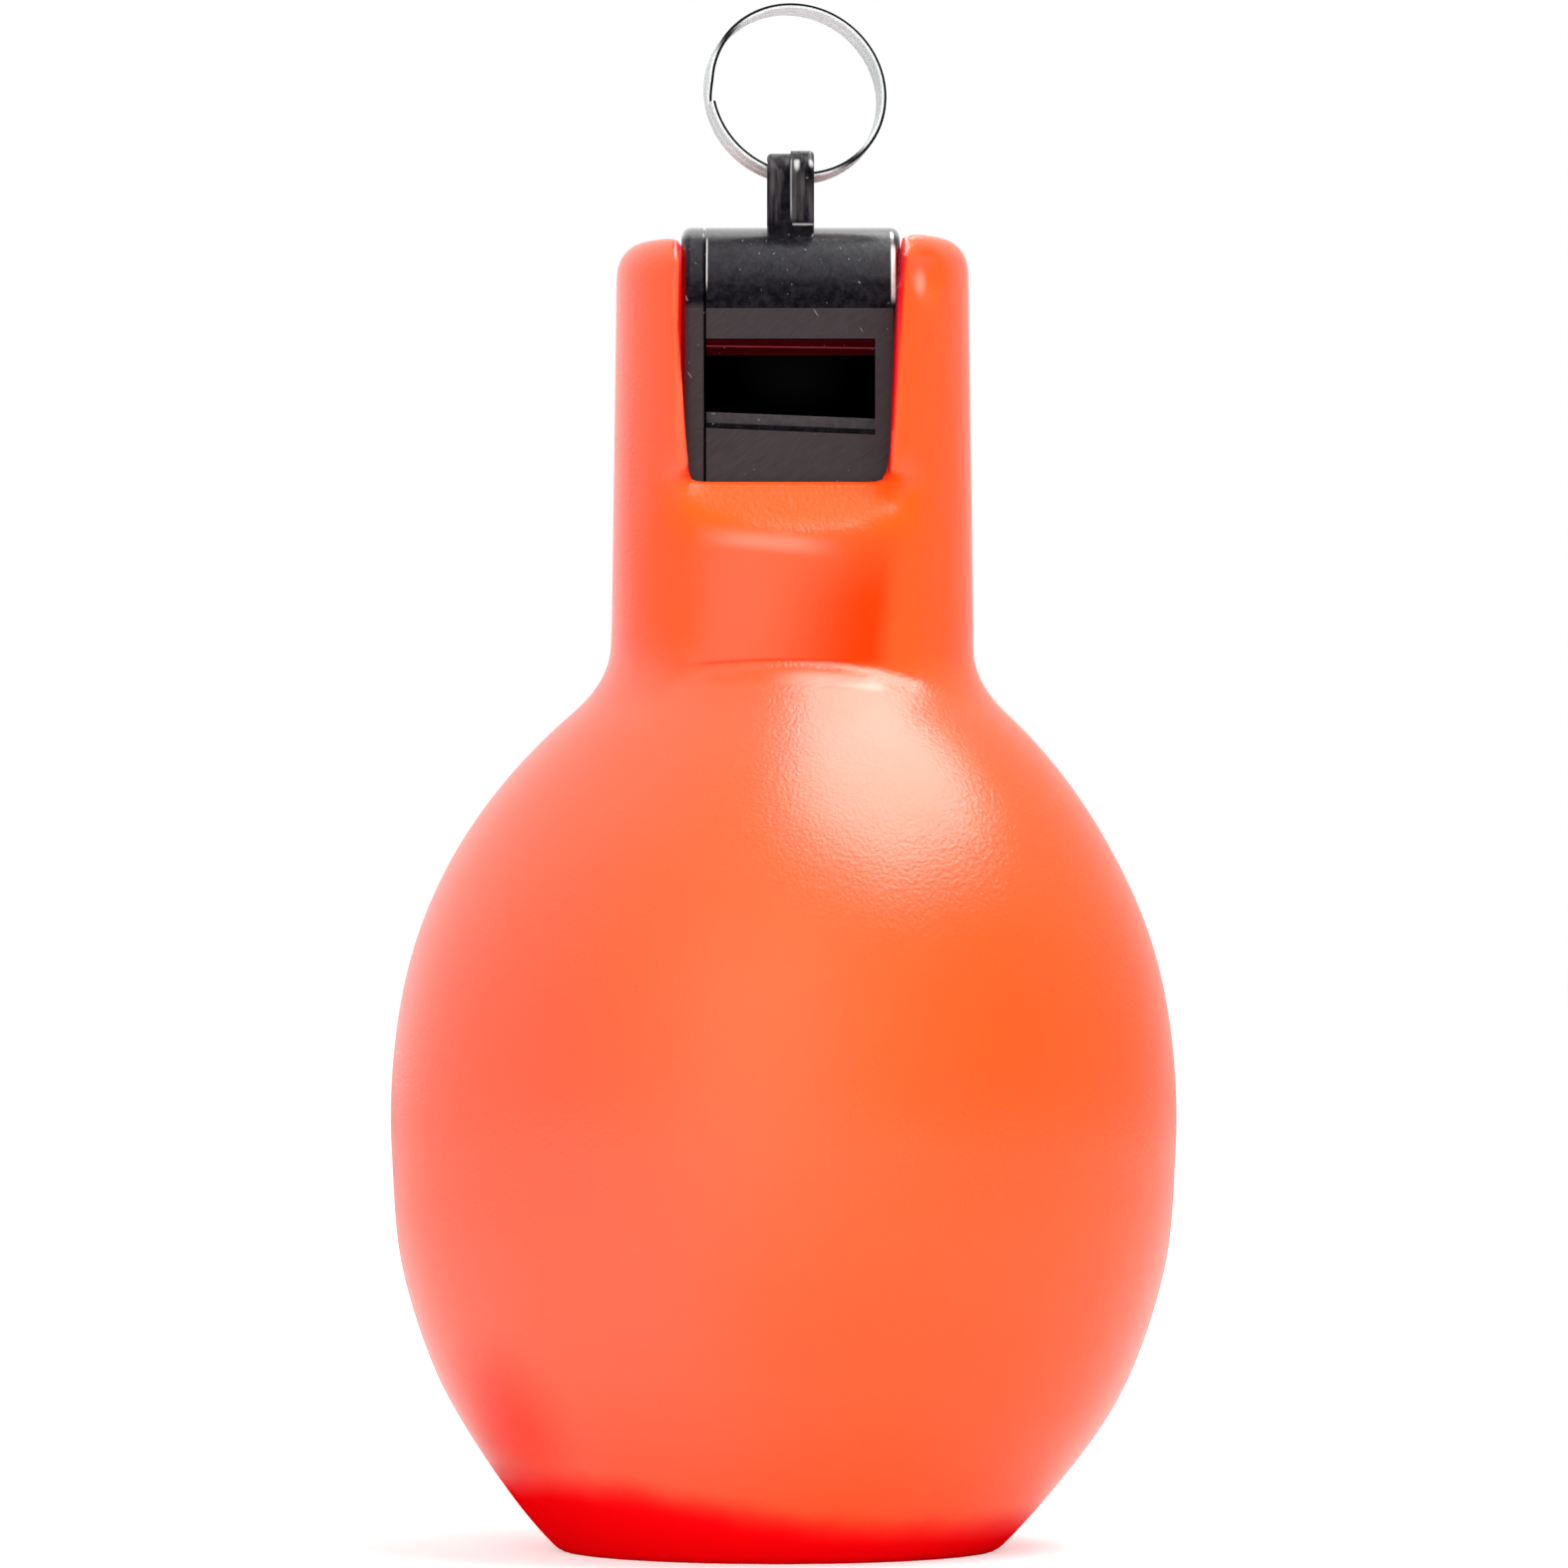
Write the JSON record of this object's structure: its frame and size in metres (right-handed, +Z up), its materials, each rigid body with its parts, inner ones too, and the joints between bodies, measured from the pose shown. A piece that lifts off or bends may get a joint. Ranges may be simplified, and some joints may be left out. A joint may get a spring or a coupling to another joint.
{
  "type": "squeeze whistle",
  "caption": "Hand-squeezed training whistle: soft orange bulb with a black pea whistle pushed into its neck and a steel split ring on the whistle's lug.",
  "frame": {"origin": "centre of the flat foot under the bulb", "axes": "+Z up along the bulb's axis, -Y towards the whistle's sound window, +X away from the side cap"},
  "size_m": [0.075, 0.075, 0.1479],
  "materials": {
    "soft_pvc": "soft satin gloss, lightly grained",
    "black_abs": "gloss on the barrel, fine matt grain on the flat face",
    "pea_plastic": "dull black",
    "plated_steel": "bright nickel plating"
  },
  "bodies": {
    "bulb_and_whistle": {"squeeze_bulb": "soft_pvc", "whistle_body": "black_abs", "side_cap": "black_abs"},
    "pea": {"pea": "pea_plastic"},
    "ring": {"split_ring": "plated_steel"}
  },
  "joints": [
    {"name": "pea_orbit", "type": "hinge", "parent": "bulb_and_whistle", "child": "pea", "pos_m": [0.0003, 0, 0.1159], "axis": [1, 0, 0], "continuous": true},
    {"name": "ring_swing", "type": "hinge", "parent": "bulb_and_whistle", "child": "ring", "pos_m": [0, 0, 0.1309], "axis": [0.9703, 0.2419, 0], "range_deg": [-90, 116]}
  ]
}
